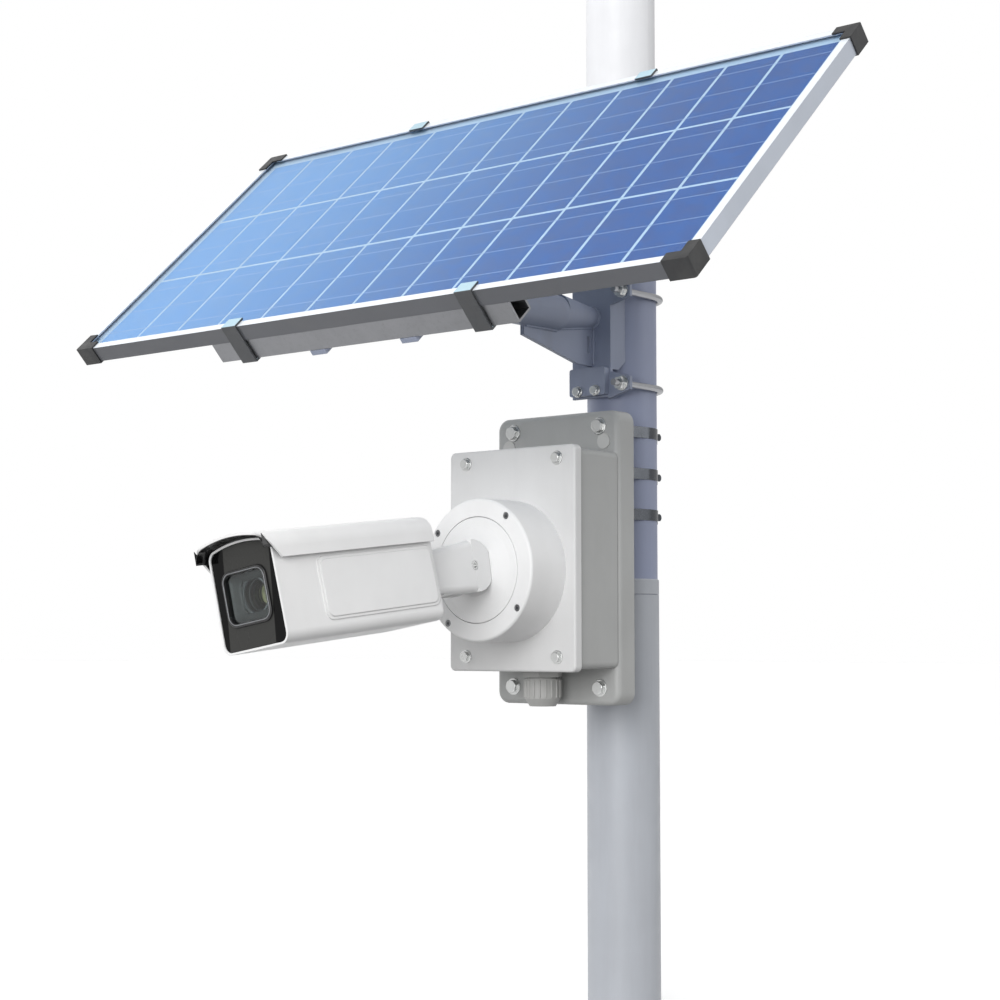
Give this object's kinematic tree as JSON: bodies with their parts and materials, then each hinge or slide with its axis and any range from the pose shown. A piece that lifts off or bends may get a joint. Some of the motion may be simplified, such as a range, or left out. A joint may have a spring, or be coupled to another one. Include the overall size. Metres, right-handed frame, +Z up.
{
  "type": "solar-powered security camera",
  "caption": "Mast-mounted bullet security camera with a grey battery box behind it and a tilting solar panel on a bracket arm above.",
  "frame": {"origin": "centre of the mast's open lower end", "axes": "+Z up the mast, -Y the way the box and camera face, +X to the camera's left"},
  "size_m": [0.7962, 0.6207, 1.14],
  "materials": {
    "mast_paint": "powder-coated pale grey, fine orange peel",
    "bracket_paint": "powder-coated blue-grey",
    "zinc": "bright zinc plated",
    "stainless": "stainless, rolled",
    "frame_aluminium": "satin anodised",
    "rail_aluminium": "mill finish extrusion",
    "clamp_steel": "dark coated steel",
    "black_plastic": "fine textured black",
    "panel_glass": "tempered, lightly textured",
    "solar_cell": "polycrystalline silicon with a blue anti-reflection coat",
    "back_sheet": "white laminate",
    "box_shell": "light grey moulded polycarbonate",
    "box_cover": "light grey moulded polycarbonate, fine grain",
    "gland_plastic": "light grey nylon",
    "rubber": "black EPDM",
    "battery_wrap": "blue shrink wrap",
    "circuit_board": "green solder mask",
    "camera_white": "white powder coat, satin",
    "bare_aluminium": "machined",
    "black_gloss": "polished black acrylic",
    "bezel_black": "satin black",
    "led_lens": "dark infrared emitter",
    "optical_glass": "coated optical glass"
  },
  "bodies": {
    "mast": {"mast_lower": "mast_paint", "mast_collar": "mast_paint", "mast_upper": "mast_paint", "mast_cap": "black_plastic", "strap_bands": "stainless", "strap_buckles": "stainless", "pole_saddle": "bracket_paint", "mount_box": "box_shell", "ear_bolts": "zinc", "keyhole_plugs": "box_shell", "enclosure_body": "box_shell", "cover_gasket": "rubber", "enclosure_cover": "box_cover", "cover_screws": "zinc", "battery_pack": "battery_wrap", "charge_controller": "circuit_board", "modem_board": "circuit_board", "gland_body": "gland_plastic", "gland_seal": "rubber", "gland_nut": "gland_plastic", "camera_base": "camera_white", "base_screws": "zinc"},
    "panel_bracket": {"mast_channel": "bracket_paint", "panel_arm": "bracket_paint", "hook_bolts": "zinc", "bracket_fasteners": "zinc"},
    "panel": {"tilt_bracket": "bracket_paint", "tilt_bolt": "zinc", "cross_bars": "bracket_paint", "lower_rail": "rail_aluminium", "upper_rail": "rail_aluminium", "edge_clamps": "clamp_steel", "frame_bottom": "frame_aluminium", "frame_top": "frame_aluminium", "frame_left": "frame_aluminium", "frame_right": "frame_aluminium", "corner_caps": "black_plastic", "panel_glass": "panel_glass", "solar_cells": "solar_cell", "back_sheet": "back_sheet", "junction_box": "black_plastic"},
    "pan_turret": {"pan_ring": "camera_white", "pan_keeper": "bare_aluminium"},
    "tilt_arm": {"tilt_arm": "camera_white", "tilt_pin": "zinc"},
    "camera": {"roll_spigot": "bare_aluminium", "camera_housing": "camera_white", "side_trim": "camera_white", "front_glass": "black_gloss", "window_bezel": "bezel_black", "lens_window": "optical_glass", "ir_board": "circuit_board", "ir_lights": "led_lens", "lens_barrel": "bezel_black", "front_lens": "optical_glass", "sensor_board": "circuit_board", "main_board": "circuit_board", "shield_screws": "zinc"},
    "sunshield": {"sunshield": "camera_white"},
    "focus_group": {"focus_group": "bare_aluminium"}
  },
  "joints": [
    {"name": "panel_swivel", "type": "hinge", "parent": "mast", "child": "panel_bracket", "pos_m": [0, 0, 0.75], "axis": [0, 0, 1], "range_deg": [-60, 60]},
    {"name": "panel_tilt", "type": "hinge", "parent": "panel_bracket", "child": "panel", "pos_m": [0, -0.281, 0.75], "axis": [1, 0, 0], "range_deg": [-28, 17]},
    {"name": "camera_pan", "type": "hinge", "parent": "mast", "child": "pan_turret", "pos_m": [0, -0.241, 0.475], "axis": [0, -1, 0], "range_deg": [-175, 175]},
    {"name": "camera_tilt", "type": "hinge", "parent": "pan_turret", "child": "tilt_arm", "pos_m": [0, -0.2675, 0.475], "axis": [0.9877, 0, 0.1564], "range_deg": [-6.2, 36]},
    {"name": "camera_roll", "type": "hinge", "parent": "tilt_arm", "child": "camera", "pos_m": [0, -0.2675, 0.475], "axis": [0.0169, -0.9942, -0.1067], "range_deg": [-175, 175]},
    {"name": "sunshield_slide", "type": "slide", "parent": "camera", "child": "sunshield", "axis": [0.0169, -0.9942, -0.1067], "range_m": [-0.006, 0.006]},
    {"name": "lens_focus", "type": "slide", "parent": "camera", "child": "focus_group", "axis": [0.0169, -0.9942, -0.1067], "range_m": [-0.004, 0.006]}
  ]
}
